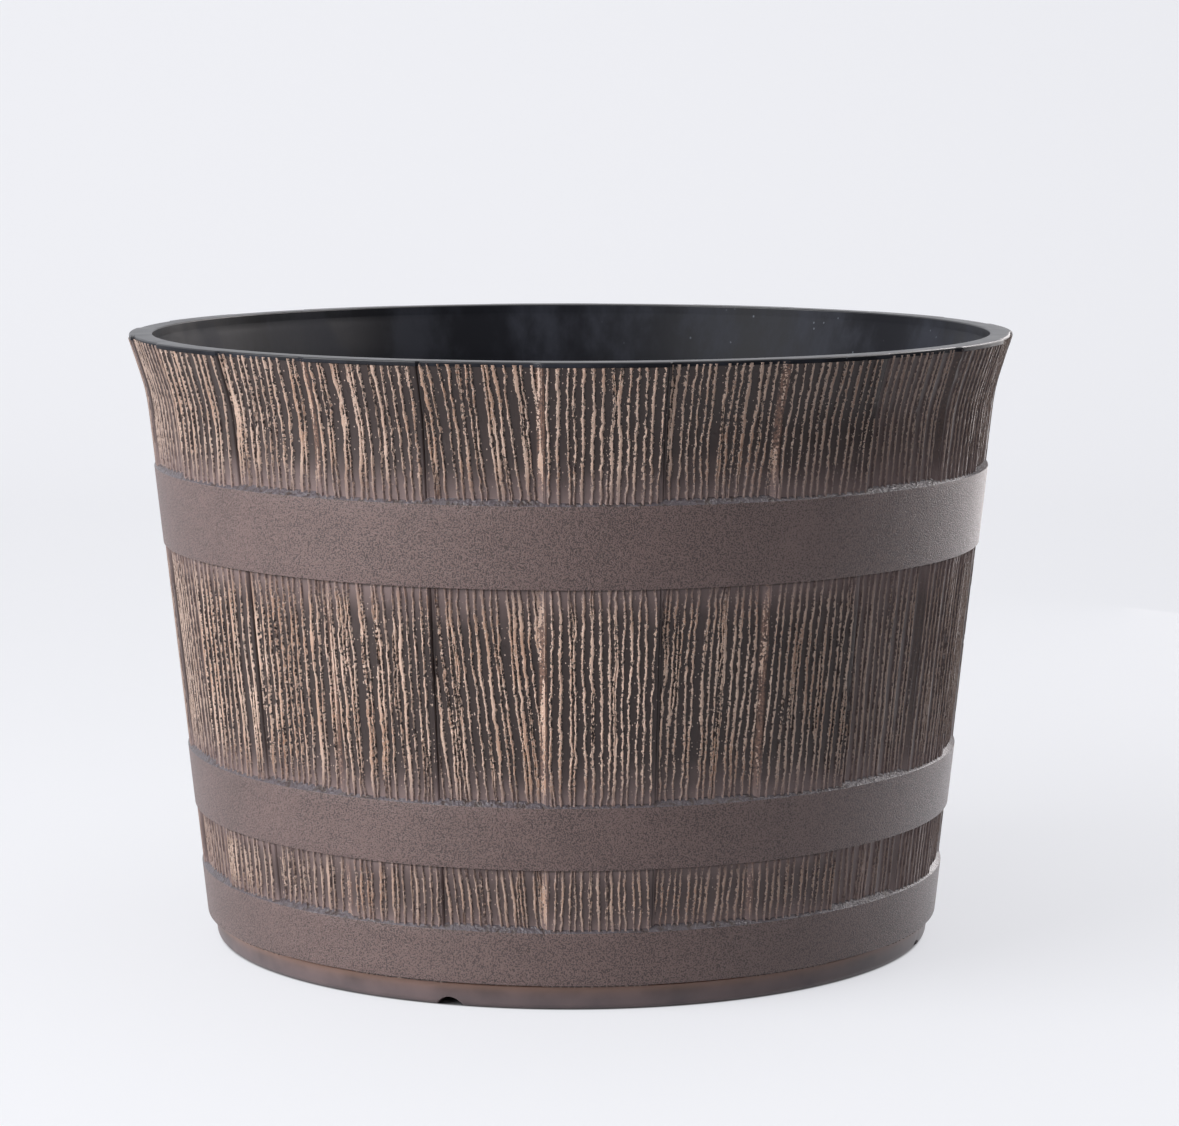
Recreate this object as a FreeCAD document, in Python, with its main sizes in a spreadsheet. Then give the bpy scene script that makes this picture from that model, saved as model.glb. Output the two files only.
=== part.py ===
# A barrel planter: staves, hoops, a foot ring, an inner pot and its drain plug.
# Millimetres and degrees. The origin is on the ground in the middle of the planter, and +Z is up.
import FreeCAD, Part
import os
import Sketcher

# Each size that can be set by itself: its name, its value and what it is.
SIZES = (
    ("planter_height", 345.0, "ground to the flat top of the rim"),
    ("base_radius", 207.2, "face of the proud staves, carried down to the ground"),
    ("taper_angle", 6.0, "lean of the wall below the flare"),
    ("flare_depth", 32.0, "from the rim down to where the flare begins"),
    ("flare_angle", 18.5, "lean of the wall in the flare"),
    ("stave_pairs", 12, "proud and recessed staves take turns round the wall"),
    ("stave_turn", 4.05, "direction of the middle of the first proud stave"),
    ("stave_thickness", 9.0, "of a proud stave at its middle, measured level"),
    ("stave_recess", 1.8, "how far the face of a recessed stave lies behind a proud one"),
    ("joint_gap", 0.2, "between neighbouring staves"),
    ("seat_gap", 0.2, "between the staves and the pot, the rim or a hoop"),
    ("hoop_proud", 1.2, "how far a hoop stands out from the proud staves"),
    ("hoop_slope", 1.4, "height of the slope at a hoop's upper edge"),
    ("hoop_edge", 0.3, "what the slope leaves of a hoop's thickness over the proud staves"),
    ("upper_hoop_drop", 73.0, "from the rim down to the upper edge of the upper hoop"),
    ("upper_hoop_height", 45.0, "height of the upper hoop"),
    ("middle_hoop_low", 77.3, "ground to the lower edge of the middle hoop"),
    ("middle_hoop_height", 35.2, "height of the middle hoop"),
    ("foot_groove", 1.0, "open line between the foot ring and the base hoop"),
    ("base_hoop_height", 30.2, "height of the base hoop"),
    ("foot_height", 13.4, "ground to the face that carries the pot and the staves"),
    ("foot_inset", 2.4, "how far the foot ring's top lies behind the face of the proud staves"),
    ("foot_lean", 1.2, "how much narrower the foot ring is above its bevel than at its top"),
    ("foot_bevel", 4.0, "bevel of its lower outer edge"),
    ("foot_width", 18.0, "of the foot ring, from outside to inside"),
    ("notch_count", 4, "drain notches round the foot ring"),
    ("notch_turn", -18.45, "direction of the first drain notch"),
    ("notch_radius", 8.5, "of the round cut of a drain notch"),
    ("notch_height", 5.0, "of a drain notch above the ground"),
    ("pot_wall", 3.7, "thickness of the inner pot's wall where it is thinnest"),
    ("pot_floor", 4.0, "thickness of the inner pot's floor"),
    ("rim_thickness", 2.6, "of the rim over the ends of the staves"),
    ("drain_radius", 14.0, "of the drain hole"),
    ("plug_gap", 0.3, "between the plug and the drain hole"),
    ("plug_tip", 2.5, "how far the plug reaches below the floor"),
    ("plug_flange", 6.0, "how far the plug's flange covers the floor round the hole"),
    ("plug_flange_height", 2.5, "thickness of that flange"),
    ("grip_width", 20.0, "length of the grip on the plug"),
    ("grip_height", 10.0, "height of the grip above the flange"),
    ("grip_thickness", 4.0, "thickness of the grip"),
    ("grip_round", 6.0, "rounding of the grip's upper corners"),
    ("cut_margin", 5.0, "how far a cut reaches past the solid that it cuts"),
)

# How a sketch numbers the ends and the centre of its lines and circles, and its own origin.
START = 1
END = 2
CENTRE = 3
ORIGIN = (-1, 1)

V = FreeCAD.Vector
doc = FreeCAD.newDocument("barrel_planter")
sheet = doc.addObject("Spreadsheet::Sheet", "Sizes")
for row, (size_name, size, meaning) in enumerate(SIZES, start=1):
    sheet.set(f"A{row}", meaning)
    sheet.set(f"B{row}", str(size))
    sheet.setAlias(f"B{row}", size_name)
doc.recompute()

# Heights and angles that several pieces share, as formulas of the sheet's sizes.
HEIGHT = "Sizes.planter_height"
FOOT = "Sizes.foot_height"
FLARE_LOW = "(Sizes.planter_height - Sizes.flare_depth)"
RIM_LOW = "(Sizes.planter_height - Sizes.rim_thickness)"
STAVE_TOP = f"({RIM_LOW} - Sizes.seat_gap)"
FLOOR_TOP = "(Sizes.foot_height + Sizes.pot_floor)"
STAVE_PITCH = "(180 deg / Sizes.stave_pairs)"
STAVE_HALF = f"({STAVE_PITCH} / 2 - atan(Sizes.joint_gap / 2 / Sizes.base_radius))"
BACK_INSET = "Sizes.stave_thickness"
POT_INSET = "(Sizes.stave_thickness + Sizes.seat_gap)"
CAVITY_INSET = "(Sizes.stave_thickness + Sizes.seat_gap + Sizes.pot_wall)"


def wall(height):
    """Radius of the proud staves' face at a height below the flare."""
    return f"(Sizes.base_radius + ({height}) * tan(Sizes.taper_angle))"


def flare(height):
    """Radius of the proud staves' face at a height within the flare."""
    return f"({wall(FLARE_LOW)} + (({height}) - {FLARE_LOW}) * tan(Sizes.flare_angle))"


RIM_RADIUS = flare(RIM_LOW)
# The staves' faces are as round as the wall is half-way up to the flare.
FACE_ROUND = wall(f"({FOOT} + {FLARE_LOW}) / 2")
FOOT_RADIUS = f"({wall(FOOT)} - Sizes.foot_inset)"
# A radius that lies outside every piece.
BEYOND = f"({RIM_RADIUS} + Sizes.cut_margin)"


def new_body(name):
    """An empty body, labelled with the name of the piece."""
    body = doc.addObject("PartDesign::Body", name)
    body.Label = name
    return body


def copy_of(original, name):
    """A body of its own with the shape of another."""
    body = new_body(name)
    base = doc.addObject("PartDesign::FeatureBase", f"{name}_base")
    base.BaseFeature = original
    body.Group = [base]
    body.Tip = base
    return body


def new_sketch(body, name, plane, offset="0"):
    """A sketch on one of the body's own planes, or at a distance from it."""
    sketch = body.newObject("Sketcher::SketchObject", f"{body.Name}_{name}")
    support = next(item for item in body.Origin.OriginFeatures if item.Role == plane)
    sketch.AttachmentSupport = [(support, "")]
    sketch.MapMode = "FlatFace"
    sketch.setExpression("AttachmentOffset.Base.z", offset)
    return sketch


def hold(sketch, kind, *where, formula, guess):
    """Adds a dimension to a sketch and ties it to a formula."""
    index = sketch.addConstraint(Sketcher.Constraint(kind, *where, guess))
    sketch.setExpression(f"Constraints[{index}]", formula)


def draw_outline(sketch, corners):
    """A closed outline of straight lines, with each corner's place given by two formulas."""
    count = len(corners)
    first = sketch.GeometryCount
    # A rough ring of points keeps the corners in order until their formulas place them.
    rough = Part.Circle(V(250, 250, 0), V(0, 0, 1), 100)
    spots = [rough.value(rough.LastParameter * index / count) for index in range(count)]
    for index in range(count):
        sketch.addGeometry(Part.LineSegment(spots[index], spots[(index + 1) % count]))
    for index, (across, up) in enumerate(corners):
        line = first + index
        follower = first + (index + 1) % count
        sketch.addConstraint(Sketcher.Constraint("Coincident", line, END, follower, START))
        hold(sketch, "DistanceX", *ORIGIN, line, START, formula=across, guess=spots[index].x)
        hold(sketch, "DistanceY", *ORIGIN, line, START, formula=up, guess=spots[index].y)


def draw_circle(sketch, up, radius):
    """A circle on the sketch's upright axis, with its height and radius given by formulas."""
    rough_height, rough_radius = 50, 10
    circle = sketch.addGeometry(Part.Circle(V(0, rough_height, 0), V(0, 0, 1), rough_radius))
    hold(sketch, "DistanceX", *ORIGIN, circle, CENTRE, formula="0", guess=0)
    hold(sketch, "DistanceY", *ORIGIN, circle, CENTRE, formula=up, guess=rough_height)
    hold(sketch, "Radius", circle, formula=radius, guess=rough_radius)


def draw_outside_arc(sketch, front, radius, side, far):
    """Everything from an arc out to a straight line. The arc bulges along the sketch's first axis."""
    rough_radius, rough_turn, rough_far = 220, 0.3, 500
    circle = Part.Circle(V(0, 0, 0), V(0, 0, 1), rough_radius)
    bow = sketch.addGeometry(Part.ArcOfCircle(circle, -rough_turn, rough_turn))
    low, high = circle.value(-rough_turn), circle.value(rough_turn)
    corners = (high, V(rough_far, high.y, 0), V(rough_far, low.y, 0), low)
    out, across, back = [
        sketch.addGeometry(Part.LineSegment(corners[index], corners[index + 1])) for index in range(3)
    ]
    for line, follower in ((bow, out), (out, across), (across, back), (back, bow)):
        sketch.addConstraint(Sketcher.Constraint("Coincident", line, END, follower, START))
    hold(sketch, "Radius", bow, formula=radius, guess=rough_radius)
    hold(sketch, "DistanceX", *ORIGIN, bow, CENTRE, formula=f"{front} - {radius}", guess=0)
    hold(sketch, "DistanceY", *ORIGIN, bow, CENTRE, formula="0", guess=0)
    hold(sketch, "DistanceY", *ORIGIN, bow, START, formula=f"-{side}", guess=low.y)
    hold(sketch, "DistanceY", *ORIGIN, bow, END, formula=side, guess=high.y)
    for end, height, guess in ((START, side, high.y), (END, f"-{side}", low.y)):
        hold(sketch, "DistanceX", *ORIGIN, across, end, formula=far, guess=rough_far)
        hold(sketch, "DistanceY", *ORIGIN, across, end, formula=height, guess=guess)


def revolve(body, sketch):
    """Turns a sketch once round the upright axis to make the body's first solid."""
    feature = body.newObject("PartDesign::Revolution", f"{sketch.Name}_turned")
    feature.Profile = sketch
    feature.ReferenceAxis = (sketch, ["V_Axis"])
    feature.Angle = 360
    doc.recompute()


def pad_both_ways(body, sketch, length):
    """Pads a sketch by half a length to each side of its plane."""
    feature = body.newObject("PartDesign::Pad", f"{sketch.Name}_padded")
    feature.Profile = sketch
    feature.SideType = "Symmetric"
    feature.setExpression("Length", length)
    doc.recompute()


def expect_cut(body, before):
    """Stops the build where a cut has taken nothing away."""
    doc.recompute()
    if body.Shape.isNull() or body.Shape.Volume >= before:
        raise RuntimeError(f"{body.Tip.Name} cuts nothing")


def cut_round(body, sketch, angle):
    """Cuts a sketch's outline out of the body, turned by half an angle to each side of its plane."""
    before = body.Shape.Volume
    feature = body.newObject("PartDesign::Groove", f"{sketch.Name}_turned")
    feature.Profile = sketch
    feature.ReferenceAxis = (sketch, ["V_Axis"])
    feature.Midplane = True
    feature.setExpression("Angle", angle)
    expect_cut(body, before)
    return feature


def cut_through(body, sketch, length, both_ways=False):
    """Cuts a sketch's outline out of the body, along its normal or to both sides of its plane."""
    before = body.Shape.Volume
    feature = body.newObject("PartDesign::Pocket", f"{sketch.Name}_cut")
    feature.Profile = sketch
    feature.setExpression("Length", length)
    if both_ways:
        feature.SideType = "Symmetric"
    else:
        feature.Reversed = True
    expect_cut(body, before)
    return feature


def cut_leaning(body, sketch, lean, rise, height):
    """Cuts a level sketch's outline out of the body, up or down a line that leans outwards as it rises."""
    before = body.Shape.Volume
    feature = body.newObject("PartDesign::Pocket", f"{sketch.Name}_cut")
    feature.Profile = sketch
    feature.UseCustomVector = True
    feature.Direction = V(0, 0, rise)
    feature.setExpression("Direction.x", f"{rise} * tan({lean})")
    feature.setExpression("Length", height)
    expect_cut(body, before)


def repeat_round(body, feature, count):
    """Repeats a feature evenly round the body's upright axis."""
    axis = next(item for item in body.Origin.OriginFeatures if item.Role == "Z_Axis")
    pattern = body.newObject("PartDesign::PolarPattern", f"{feature.Name}_pattern")
    pattern.Originals = [feature]
    pattern.Axis = (axis, [""])
    pattern.Angle = 360
    pattern.setExpression("Occurrences", count)
    body.Tip = pattern
    doc.recompute()


def make_stave(name, recess):
    """A board with a flat back, a round face that follows the wall, and edges that point at the axis."""
    body = new_body(name)
    board = new_sketch(body, "board", "XZ_Plane")
    draw_outline(board, (
        (f"{wall(FOOT)} - {BACK_INSET}", FOOT),
        (BEYOND, FOOT),
        (BEYOND, STAVE_TOP),
        (f"{flare(STAVE_TOP)} - {BACK_INSET}", STAVE_TOP),
        (f"{wall(FLARE_LOW)} - {BACK_INSET}", FLARE_LOW),
    ))
    half_width = f"({BEYOND} * tan({STAVE_PITCH}))"
    pad_both_ways(body, board, f"2 * {half_width}")
    face = new_sketch(body, "face", "XY_Plane", FLARE_LOW)
    draw_outside_arc(face, f"{wall(FLARE_LOW)} - {recess}", FACE_ROUND, half_width, f"2 * {BEYOND}")
    cut_leaning(body, face, "Sizes.taper_angle", -1, f"{FLARE_LOW} - {FOOT} + Sizes.cut_margin")
    cut_leaning(body, face, "Sizes.flare_angle", 1, f"{STAVE_TOP} - {FLARE_LOW} + Sizes.cut_margin")
    edges = new_sketch(body, "edges", "XY_Plane")
    for side in (1, -1):
        draw_outline(edges, (
            (f"{BEYOND} / 2", f"{side} * {BEYOND} / 2 * tan({STAVE_HALF})"),
            (f"2 * {BEYOND}", f"{side} * 2 * {BEYOND} * tan({STAVE_HALF})"),
            (f"2 * {BEYOND}", f"{side} * 2 * {half_width}"),
            (f"{BEYOND} / 2", f"{side} * 2 * {half_width}"),
        ))
    cut_through(body, edges, HEIGHT)
    return body


def make_staves():
    """All staves: one of each kind is drawn, and the others are copies turned into place."""
    kinds = {0: "0", 1: "Sizes.stave_recess"}
    originals = {}
    for index in range(2 * int(sheet.stave_pairs)):
        name = f"stave_{index + 1:02d}"
        kind = index % 2
        if kind in originals:
            body = copy_of(originals[kind], name)
        else:
            body = make_stave(name, kinds[kind])
            originals[kind] = body
        turn = f"Sizes.stave_turn * 1 deg + {index} * {STAVE_PITCH}"
        body.setExpression("Placement.Rotation.Angle", turn)


def make_hoop(name, low, high):
    """A leaning band that reaches back to the recessed staves, with a seat for each proud one."""
    body = new_body(name)
    inside = "Sizes.seat_gap - Sizes.stave_recess"
    slope_low = f"({high} - Sizes.hoop_slope)"
    profile = new_sketch(body, "profile", "XZ_Plane")
    draw_outline(profile, (
        (f"{wall(low)} + {inside}", low),
        (f"{wall(low)} + Sizes.hoop_proud", low),
        (f"{wall(slope_low)} + Sizes.hoop_proud", slope_low),
        (f"{wall(high)} + Sizes.seat_gap + Sizes.hoop_edge", high),
        (f"{wall(high)} + {inside}", high),
    ))
    revolve(body, profile)
    below = f"({low} - Sizes.cut_margin)"
    above = f"({high} + Sizes.cut_margin)"
    seat = new_sketch(body, "seat", "XZ_Plane")
    draw_outline(seat, (
        (f"{wall(below)} - {BACK_INSET}", below),
        (f"{wall(below)} + Sizes.seat_gap", below),
        (f"{wall(above)} + Sizes.seat_gap", above),
        (f"{wall(above)} - {BACK_INSET}", above),
    ))
    repeat_round(body, cut_round(body, seat, STAVE_PITCH), "Sizes.stave_pairs")
    body.setExpression("Placement.Rotation.Angle", "Sizes.stave_turn * 1 deg")


def make_hoops():
    """The upper hoop's place follows the rim, and the base hoop's follows the foot ring."""
    upper_high = "(Sizes.planter_height - Sizes.upper_hoop_drop)"
    middle_low = "Sizes.middle_hoop_low"
    base_low = "(Sizes.foot_height + Sizes.foot_groove)"
    make_hoop("upper_hoop", f"({upper_high} - Sizes.upper_hoop_height)", upper_high)
    make_hoop("middle_hoop", middle_low, f"({middle_low} + Sizes.middle_hoop_height)")
    make_hoop("base_hoop", base_low, f"({base_low} + Sizes.base_hoop_height)")


def make_inner_pot():
    """The pot inside the staves: a floor with a drain hole, a wall with flats, and the rim."""
    body = new_body("inner_pot")
    profile = new_sketch(body, "profile", "XZ_Plane")
    draw_outline(profile, (
        ("0", FOOT),
        (wall(FOOT), FOOT),
        (wall(FLARE_LOW), FLARE_LOW),
        (RIM_RADIUS, RIM_LOW),
        (RIM_RADIUS, HEIGHT),
        (f"{RIM_RADIUS} - {CAVITY_INSET}", HEIGHT),
        (f"{wall(FLARE_LOW)} - {CAVITY_INSET}", FLARE_LOW),
        (f"{wall(FLOOR_TOP)} - {CAVITY_INSET}", FLOOR_TOP),
        ("0", FLOOR_TOP),
    ))
    revolve(body, profile)
    below = f"({FOOT} - Sizes.cut_margin)"
    # The back of each stave lies against a flat of its own.
    flat = new_sketch(body, "flat", "XZ_Plane")
    draw_outline(flat, (
        (f"{wall(below)} - {POT_INSET}", below),
        (BEYOND, below),
        (BEYOND, RIM_LOW),
        (f"{flare(RIM_LOW)} - {POT_INSET}", RIM_LOW),
        (f"{wall(FLARE_LOW)} - {POT_INSET}", FLARE_LOW),
    ))
    first_flat = cut_through(body, flat, f"2 * {BEYOND}", both_ways=True)
    repeat_round(body, first_flat, "2 * Sizes.stave_pairs")
    # The rim's outer edge steps in over each recessed stave.
    step = new_sketch(body, "rim_step", "XZ_Plane")
    over = "(Sizes.planter_height + Sizes.cut_margin)"
    under = f"({RIM_LOW} - Sizes.seat_gap)"
    draw_outline(step, (
        (f"{RIM_RADIUS} - Sizes.stave_recess", under),
        (BEYOND, under),
        (BEYOND, over),
        (f"{RIM_RADIUS} - Sizes.stave_recess", over),
    ))
    repeat_round(body, cut_round(body, step, STAVE_PITCH), "Sizes.stave_pairs")
    drain = new_sketch(body, "drain", "XY_Plane")
    draw_circle(drain, "0", "Sizes.drain_radius")
    cut_through(body, drain, f"{FLOOR_TOP} + Sizes.cut_margin")
    body.setExpression("Placement.Rotation.Angle", f"Sizes.stave_turn * 1 deg + {STAVE_PITCH}")


def make_foot_ring():
    """The ring that the planter stands on, with a bevelled lower edge and drain notches."""
    body = new_body("foot_ring")
    inside = f"{FOOT_RADIUS} - Sizes.foot_width"
    lower_radius = f"{FOOT_RADIUS} - Sizes.foot_lean"
    profile = new_sketch(body, "profile", "XZ_Plane")
    draw_outline(profile, (
        (inside, "0"),
        (f"{lower_radius} - Sizes.foot_bevel", "0"),
        (lower_radius, "Sizes.foot_bevel"),
        (FOOT_RADIUS, FOOT),
        (inside, FOOT),
    ))
    revolve(body, profile)
    notch = new_sketch(body, "notch", "YZ_Plane")
    draw_circle(notch, "Sizes.notch_height - Sizes.notch_radius", "Sizes.notch_radius")
    repeat_round(body, cut_through(body, notch, BEYOND), "Sizes.notch_count")
    body.setExpression("Placement.Rotation.Angle", "Sizes.notch_turn * 1 deg")


def make_drain_plug():
    """A plug for the drain hole: a shank, a flange that lies on the floor, and a rounded grip."""
    body = new_body("drain_plug")
    shank_radius = "(Sizes.drain_radius - Sizes.plug_gap)"
    flange_radius = "(Sizes.drain_radius + Sizes.plug_flange)"
    tip = f"({FOOT} - Sizes.plug_tip)"
    flange_top = f"({FLOOR_TOP} + Sizes.plug_flange_height)"
    grip_top = f"({flange_top} + Sizes.grip_height)"
    profile = new_sketch(body, "profile", "XZ_Plane")
    draw_outline(profile, (
        ("0", tip),
        (shank_radius, tip),
        (shank_radius, FLOOR_TOP),
        (flange_radius, FLOOR_TOP),
        (flange_radius, flange_top),
        ("0", flange_top),
    ))
    revolve(body, profile)
    grip = new_sketch(body, "grip", "XZ_Plane")
    draw_outline(grip, (
        ("-Sizes.grip_width / 2", flange_top),
        ("Sizes.grip_width / 2", flange_top),
        ("Sizes.grip_width / 2", grip_top),
        ("-Sizes.grip_width / 2", grip_top),
    ))
    pad_both_ways(body, grip, "Sizes.grip_thickness")
    padded = body.Tip
    highest = padded.Shape.BoundBox.ZMax
    upper_corners = []
    for number, edge in enumerate(padded.Shape.Edges, start=1):
        on_top = edge.BoundBox.ZMin > highest - sheet.grip_round / 2
        across = edge.BoundBox.YLength > edge.BoundBox.XLength
        if on_top and across:
            upper_corners.append(f"Edge{number}")
    rounded = body.newObject("PartDesign::Fillet", "drain_plug_grip_rounded")
    rounded.Base = (padded, upper_corners)
    rounded.setExpression("Radius", "Sizes.grip_round")


def write_pieces():
    """Checks every object and every piece, and writes each piece to a file of its own name."""
    doc.recompute()
    for item in doc.Objects:
        if "Invalid" in item.State or "Error" in item.State:
            raise RuntimeError(f"{item.Name} failed: {item.State}")
    pieces = [item for item in doc.Objects if item.TypeId == "PartDesign::Body"]
    for piece in pieces:
        if piece.Shape.isNull() or not piece.Shape.isValid() or len(piece.Shape.Solids) != 1:
            raise RuntimeError(f"{piece.Label} is not one sound solid")
    os.makedirs("parts", exist_ok=True)
    for piece in pieces:
        piece.Shape.exportStep(f"parts/{piece.Label}.step")


make_inner_pot()
make_foot_ring()
make_hoops()
make_staves()
make_drain_plug()
write_pieces()
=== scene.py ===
"""A resin barrel planter with brushed wood grain, on a pale studio floor. Metres, +Z up."""
import math

import bpy
import numpy as np
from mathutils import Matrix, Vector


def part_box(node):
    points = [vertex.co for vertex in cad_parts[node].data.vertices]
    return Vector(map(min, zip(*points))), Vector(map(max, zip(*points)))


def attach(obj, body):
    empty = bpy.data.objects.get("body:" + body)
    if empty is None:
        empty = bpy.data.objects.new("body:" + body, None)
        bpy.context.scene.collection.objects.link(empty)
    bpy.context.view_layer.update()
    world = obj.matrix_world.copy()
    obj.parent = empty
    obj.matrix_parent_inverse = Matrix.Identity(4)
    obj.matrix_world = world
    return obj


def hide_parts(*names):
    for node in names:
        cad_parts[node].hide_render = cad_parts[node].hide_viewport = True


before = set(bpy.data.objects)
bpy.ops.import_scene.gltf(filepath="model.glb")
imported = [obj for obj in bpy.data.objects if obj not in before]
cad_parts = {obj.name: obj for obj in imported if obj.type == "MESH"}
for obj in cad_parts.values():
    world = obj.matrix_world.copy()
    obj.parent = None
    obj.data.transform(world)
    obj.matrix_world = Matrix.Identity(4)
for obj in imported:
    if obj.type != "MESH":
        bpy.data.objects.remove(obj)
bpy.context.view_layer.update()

MM = 0.001
PLANTER = "planter"

# The planter's outline, from the CAD pieces.
_, pot_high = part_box("inner_pot")
_, foot_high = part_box("foot_ring")
HEIGHT = pot_high[2]
RIM_RADIUS = pot_high[0]
FOOT_TOP = foot_high[2]
FOOT_RADIUS = foot_high[0]
RIM_LIP = 2.6 * MM
FLARE_DEPTH = 32 * MM
TAPER = math.tan(math.radians(6))
FLARE = math.tan(math.radians(18.5))
FLARE_BLEND = 8 * MM
RIM_LOW = HEIGHT - RIM_LIP
FLARE_LOW = HEIGHT - FLARE_DEPTH
FLARE_RADIUS = RIM_RADIUS - (RIM_LOW - FLARE_LOW) * FLARE

# Staves: proud and recessed ones take turns. At its right edge, seen from outside, a recessed one slopes up
# nearly to its neighbour, and the light falls on that slope. At its left edge it stays deep, and the proud
# stave beside it is rounded off.
STAVE_COUNT = 24
STAVE_PITCH = math.tau / STAVE_COUNT
FIRST_STAVE = math.radians(4.05)
JOINT_GAP = 0.2 * MM
SEAT_GAP = 0.2 * MM
STAVE_THICKNESS = 9 * MM
STAVE_RECESS = 1.8 * MM
LIT_SLOPE = 3.2 * MM
DARK_SLOPE = 1.2 * MM
LIT_EDGE = 0.2 * MM
DARK_EDGE = 1.8 * MM
STAVE_TOP = RIM_LOW - SEAT_GAP
RECESSED_TOP = HEIGHT - 1.3 * MM
POT_WALL = 3.7 * MM
CAVITY_INSET = STAVE_THICKNESS + SEAT_GAP + POT_WALL

# Wood grain: how far it stands out, and the mesh that carries it.
GRAIN_RELIEF = 1.1 * MM
GRAIN_DEPTH = 0.7 * MM
GRAIN_COLUMNS = 144
GRAIN_ROW = 0.65 * MM
HIDDEN_ROW = 6 * MM
FIRST_SEED = 100

# The ridges of the grain, in millimetres: how they run, how wide and strong they are, and how they fork.
# A cell is the size of a noise across and along the stave, and a length is its size along it.
GRAIN_LEAN = 0.05
SEEN_LEANS = {16: -0.02, 17: -0.08, 18: 0.0, 19: 0.03}
START_SPREAD = 1.1
DRIFT, DRIFT_CELL = 1.3, (26, 60)
BEND, BEND_CELL = 0.3, (2.4, 3.6)
FINE_RAG, FINE_RAG_CELL = 0.42, (0.8, 1.1)
COARSE_RAG, COARSE_RAG_CELL = 0.18, (1.6, 3.0)
SWAY, SWAY_LENGTH = 0.65, 22
WIGGLE, WIGGLE_LENGTH = 0.35, 5
THICK_CHANCE = 0.3
THICK_HALF = (0.7, 0.95)
THIN_HALF = (0.42, 0.66)
SMOOTH_HALF = 0.65
SWELL, SWELL_LENGTH = 0.25, 12
STRENGTH, STRENGTH_SWING, FADE_LENGTH = 2.6, 2.0, 38
FAINTEST = 0.8
SPLIT_SWING, SPLIT_LACK, SPLIT_LENGTH = 3, 0.8, 30
SPLIT_DEPTH, SPLIT_WIDTH = 0.9, 0.26
BARE_SPLIT, BARE_SPLIT_WIDTH = 1.4, 0.3
FORK_CHANCE = 0.3
FORK_LENGTH = 26
FORK_HALF = 0.8
FORK_START = (-2, 2)
FORK_FADE = (50, 75)
PIT_DEPTH, PIT_STEP, PIT_CELL = 0.3, (0.66, 0.8), (0.8, 0.9)
CRUMB_HEIGHT, CRUMB_STEP, CRUMB_CELL = 0.25, (0.72, 0.85), (0.9, 1.0)
RIDGE_EDGE, RIDGE_RAG = 0.38, 0.35
PAINT_EDGE, PAINT_RAG = 0.75, 0.5
LEAST_PAINT = 0.38
FAINT_LOSS = 1.2
# How far inside a painted ridge a place counts as lying, at the least and at the most.
LEAST_CATCH, MOST_CATCH = -1.0, 2.0

# The strips along a stave's sides: how far in the grain begins, as a share of a slope or in metres at an
# edge, and how much flatter and how high the strips are.
SLOPE_GRAIN_FROM, SLOPE_GRAIN_FULL = 0.7, 1.15
EDGE_GRAIN = (0.3 * MM, 1.3 * MM)
STRIP_FLATTENED = 0.8
STRIP_HEIGHT = 0.4
# Their paint: streaks, mostly on the lit side, and a copper film on the lit side alone. This paint on the lit
# side is partly a painted highlight, and the bare dark resin on the shaded side is painted shade. Both are
# less where a stave has more of the hoops' paint, and that paint is less on the strips.
STREAKS, STREAK_CELL = 1.6, (0.9, 10)
LIT_CATCH, DARK_CATCH = 0.3, -1.4
THIN_BRUSH_LOSS = 2.5
MIST_LOSS = 3
FILM, FILM_MIST_LOSS = 0.8, 2
STRIP_MIST_LOSS = 0.7

# How much of the brushed paint a stave has, by its index.
FULL_BRUSH = 0.95
BRUSH = {
    9: 0.85, 10: 0.75, 11: 0.65, 12: 0.62, 13: 0.8,
    19: 0.72, 20: 0.6, 21: 0.64, 22: 0.68, 23: 0.68, 0: 0.74, 1: 0.85,
}
# How ragged the ridges of a stave are, by its index.
FULL_ROUGHNESS = 1.0
ROUGHNESS = {
    9: 0.7, 10: 0.45, 11: 0.2, 12: 0.1, 13: 0.2, 14: 0.55,
    20: 0.7, 21: 0.4, 22: 0.25, 23: 0.3, 0: 0.5, 1: 0.75,
}
# How far apart the ridges of a stave are in millimetres, by its index.
GRAIN_SPACING = 4.3
SPACINGS = {
    9: 4.8, 10: 5.6, 11: 6.4, 12: 6.8, 13: 6.4, 14: 5.8, 15: 5.0,
    20: 4.8, 21: 5.2, 22: 5.4, 23: 5.2, 0: 5.0, 1: 4.6,
}
# How much of the hoops' paint hangs over a whole stave, by its index. Towards the sides it is partly a
# painted sheen, the paleness of surfaces seen at a glancing angle.
MIST_AND_SHEEN = {
    9: 0.1, 10: 0.25, 11: 0.4, 12: 0.5, 13: 0.3,
    21: 0.35, 22: 0.45, 23: 0.4, 0: 0.3, 1: 0.15,
}
# What is left of the brushed paint above the upper hoop.
TOP_BRUSH = 0.85

# The hoops' paint on the staves: how far it reaches and how fast it falls off, how much of it lies beside a
# hoop, how uneven it is, and the share of its reach and of the bare resin that is left below the middle hoop.
SPRAY_REACH, SPRAY_FALL = 12 * MM, 1.5
SPRAY_COVER = 0.95
SPRAY_UNEVEN, SPRAY_CELL = 0.3, (12, 9)
LOW_REACH = 0.5
LOW_BARE = 0.7
# Painted shadow in the corner under a hoop: the paint is left off and the dark resin stands for the shade,
# fully down to the first depth, and the paint is full from the second.
SHADE_FULL_DEPTH, SHADE_END_DEPTH = 0.2 * MM, 1.6 * MM

HOOPS = ("upper_hoop", "middle_hoop", "base_hoop")
HOOP_PROUD = 1.2 * MM
ROUND_SEGMENTS = 480

# Edges that bend more than this stay sharp.
STAVE_SHARP = math.radians(60)
HOOP_SHARP = math.radians(25)
FOOT_SHARP = math.radians(35)
POT_SHARP = math.radians(30)

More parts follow.
